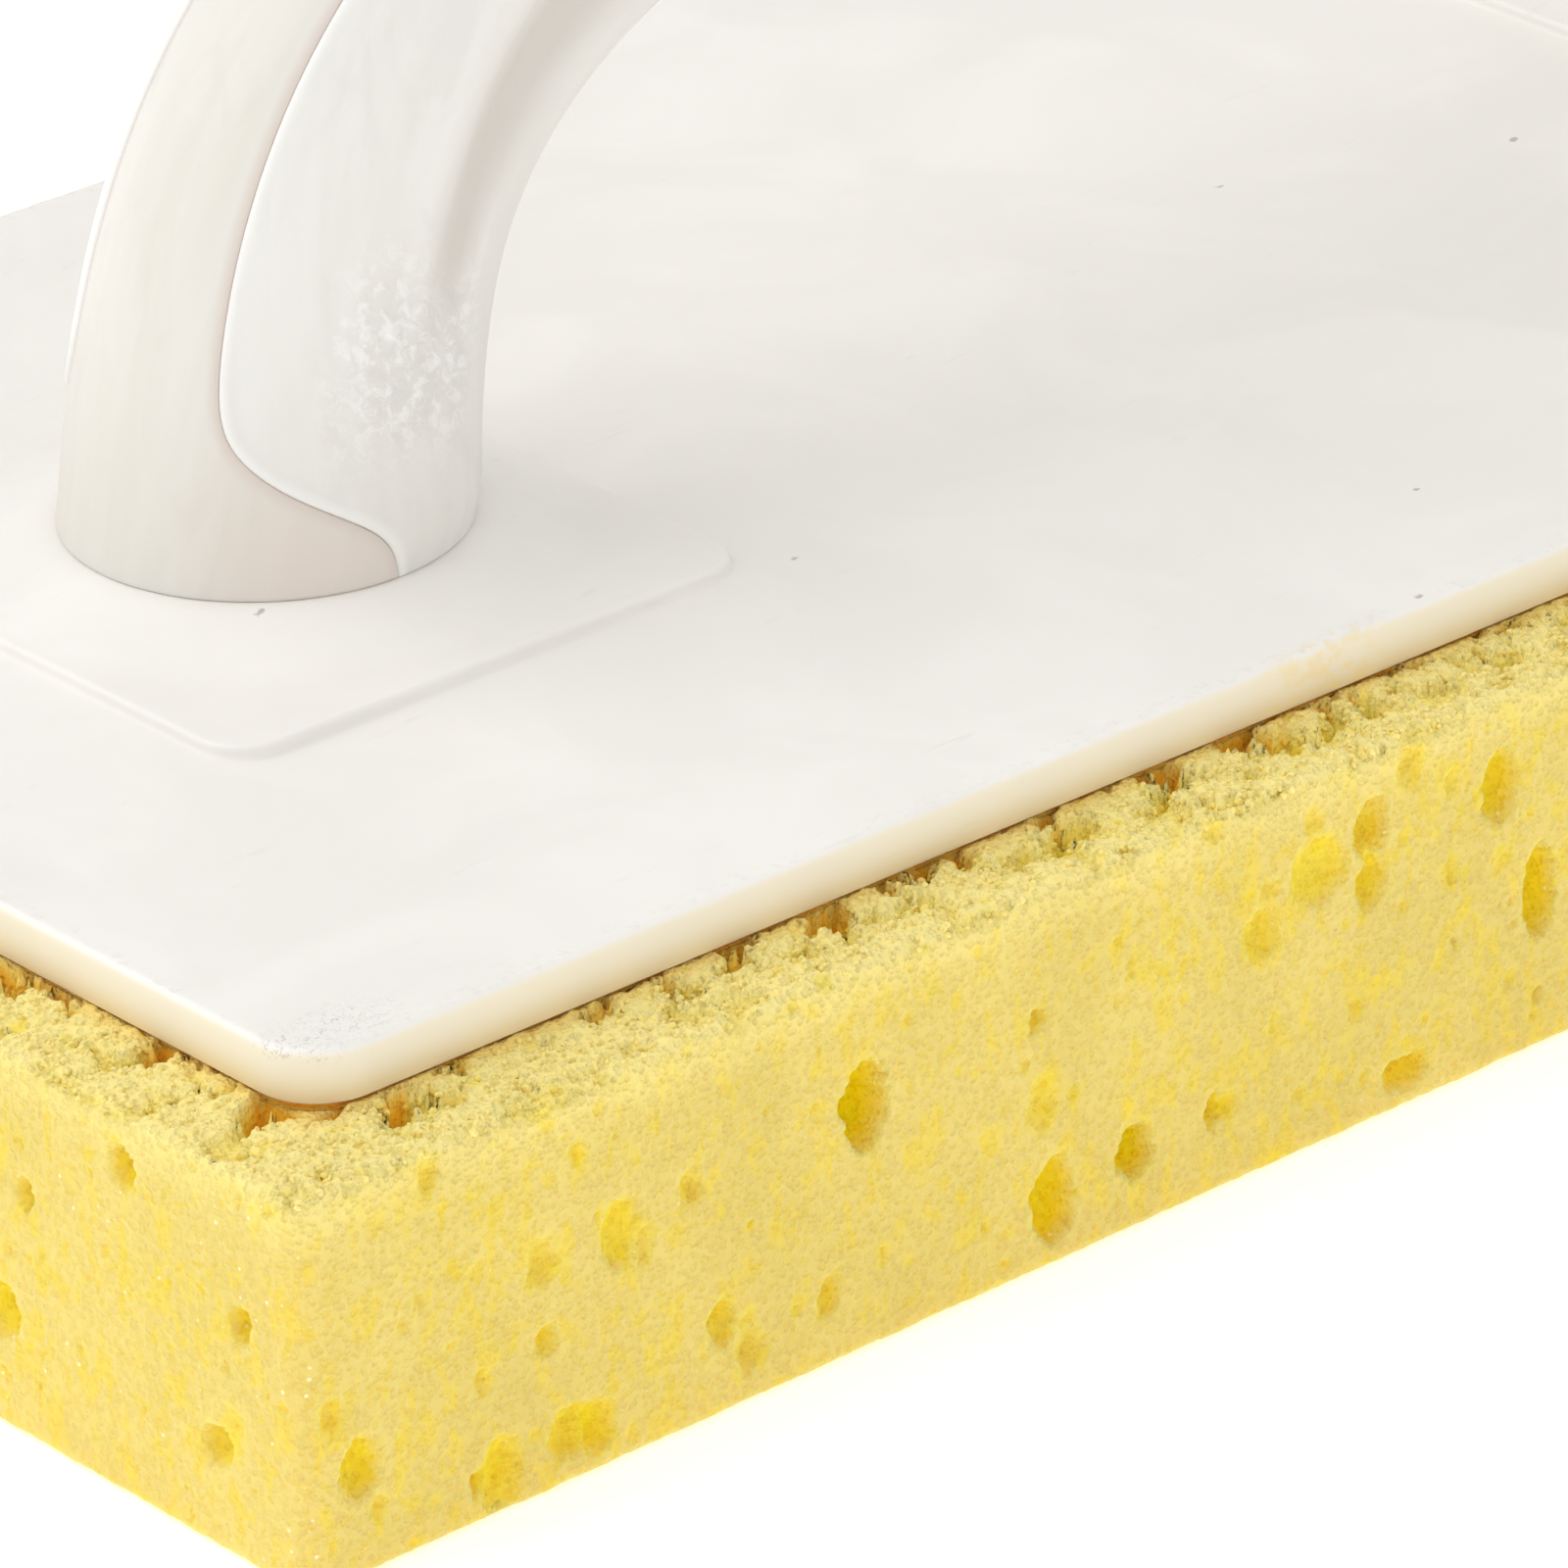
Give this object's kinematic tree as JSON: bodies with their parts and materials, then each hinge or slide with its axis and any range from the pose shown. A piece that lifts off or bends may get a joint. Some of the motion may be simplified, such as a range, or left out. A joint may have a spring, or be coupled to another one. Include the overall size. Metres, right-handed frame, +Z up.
{
  "type": "grout float",
  "caption": "Grout float: a thick rectangular sponge glued under a white moulded plate, with a bowed two-shell handle standing on raised pads.",
  "frame": {"origin": "centre of the sponge's flat working face, on the surface the float stands on", "axes": "+X along the float's length and its handle, +Y across its width, +Z up from the working face to the handle"},
  "size_m": [0.268, 0.14, 0.098],
  "materials": {
    "sponge": "open-cell yellow hydro foam, matte",
    "adhesive": "cured amber contact adhesive",
    "plate_plastic": "satin white polyethylene with waxy edges",
    "handle_plastic": "satin translucent white polyethylene",
    "grip_plastic": "frosty translucent white polyethylene with flow marks",
    "screw_steel": "zinc-plated pan-head self-tapping screw"
  },
  "bodies": {
    "root": {"sponge_block": "sponge", "adhesive_film": "adhesive", "backing_plate": "plate_plastic", "handle_spine": "handle_plastic", "handle_grip": "grip_plastic", "handle_screws": "screw_steel"}
  },
  "joints": []
}
